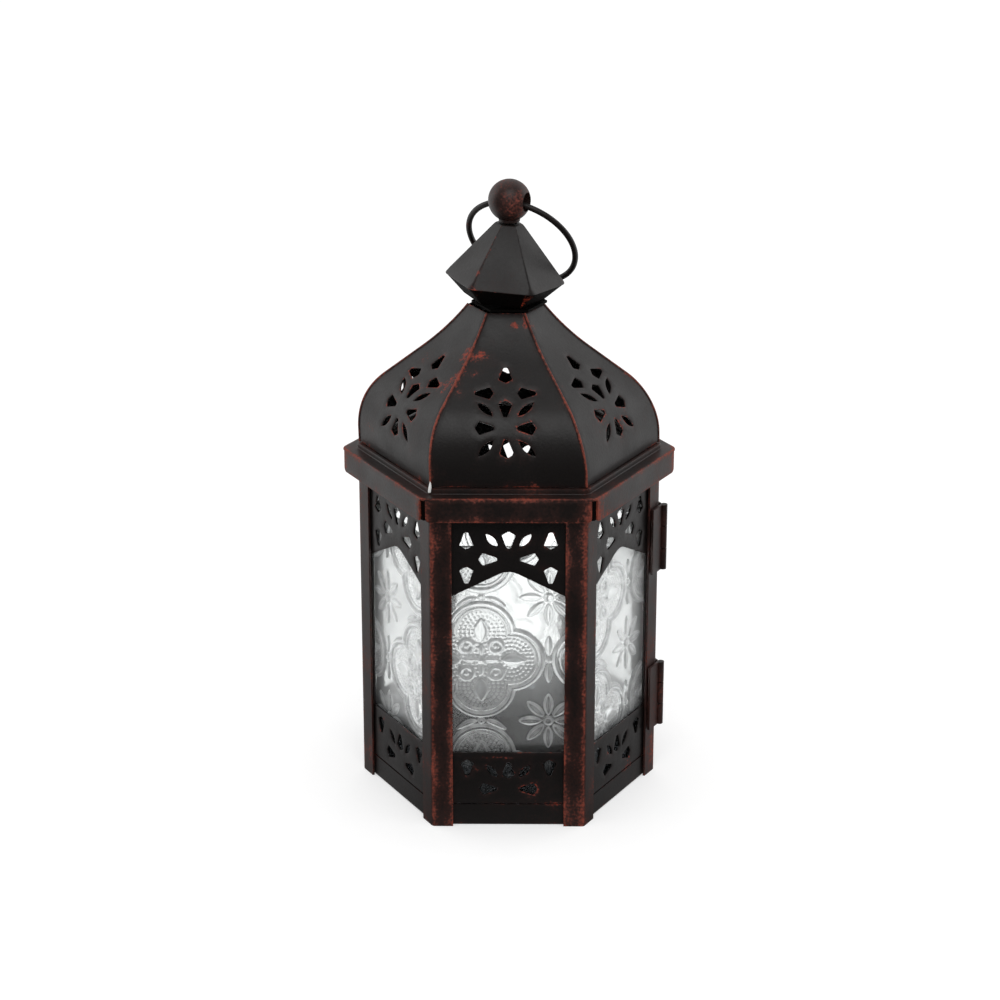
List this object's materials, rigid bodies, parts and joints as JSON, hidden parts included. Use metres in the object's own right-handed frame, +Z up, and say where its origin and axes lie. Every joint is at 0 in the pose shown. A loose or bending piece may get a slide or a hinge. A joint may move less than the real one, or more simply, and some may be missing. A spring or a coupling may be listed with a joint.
{
  "type": "candle lantern",
  "caption": "Hexagonal metal candle lantern with pierced panels, pressed glass panes, a hinged door, a bulbous pierced roof, a ball finial and a hanging ring.",
  "frame": {"origin": "middle of the underside of the base, on the surface the lantern stands on", "axes": "+Z up through the finial; -Y out of the front face; +X towards the hinged corner"},
  "size_m": [0.09, 0.078, 0.17],
  "materials": {
    "paint": "semi-matte black paint on sheet steel",
    "rubbed_paint": "semi-matte black paint rubbed through to oxide red along edges",
    "glass": "clear pressed glass with a raised pattern",
    "steel": "dark blackened steel"
  },
  "bodies": {
    "frame": {"base_tray": "paint", "button_rivet": "steel", "cap_roof": "paint", "cap_skirt": "paint", "cornice": "rubbed_paint", "door_lintel": "paint", "finial_ball": "rubbed_paint", "finial_stem": "steel", "glass_front": "glass", "glass_front_left": "glass", "glass_front_right": "glass", "glass_keeper_front_left": "steel", "glass_keeper_front_right": "steel", "glass_keeper_left": "steel", "glass_keeper_rear_left": "steel", "glass_keeper_rear_right": "steel", "glass_keeper_right": "steel", "glass_rear": "glass", "glass_rear_left": "glass", "hinge_lower_fixed_leaf": "paint", "hinge_lower_pin": "steel", "hinge_upper_fixed_leaf": "paint", "hinge_upper_pin": "steel", "neck_collar": "paint", "panel_front": "paint", "panel_front_left": "paint", "panel_front_right": "paint", "panel_rear": "paint", "panel_rear_left": "paint", "post_front_left": "rubbed_paint", "post_front_right": "rubbed_paint", "post_left": "rubbed_paint", "post_rear_left": "rubbed_paint", "post_rear_right": "rubbed_paint", "post_right": "rubbed_paint", "roof_gore_front": "paint", "roof_gore_front_left": "paint", "roof_gore_front_right": "paint", "roof_gore_rear": "paint", "roof_gore_rear_left": "paint", "roof_gore_rear_right": "paint", "stem_nut": "steel"},
    "door": {"door_free_stile": "rubbed_paint", "door_glass": "glass", "door_glass_clip_bottom": "steel", "door_glass_clip_left": "steel", "door_glass_clip_right": "steel", "door_hinge_stile": "rubbed_paint", "door_panel": "paint", "hinge_lower_door_leaf": "paint", "hinge_upper_door_leaf": "paint"},
    "ring": {"hanging_ring": "paint"},
    "button": {"turn_button": "steel"}
  },
  "joints": [
    {"name": "door_hinge", "type": "hinge", "parent": "frame", "child": "door", "pos_m": [0.04201, 0, 0.047], "axis": [0, 0, -1], "range_deg": [0, 120]},
    {"name": "ring_swing", "type": "hinge", "parent": "frame", "child": "ring", "pos_m": [0, 0, 0.16377], "axis": [0.9107, -0.4131, 0], "range_deg": [-2, 296]},
    {"name": "button_turn", "type": "hinge", "parent": "frame", "child": "button", "pos_m": [0.02113, 0.0342, 0.048], "axis": [-0.866, -0.5, 0], "range_deg": [0, 90]}
  ]
}
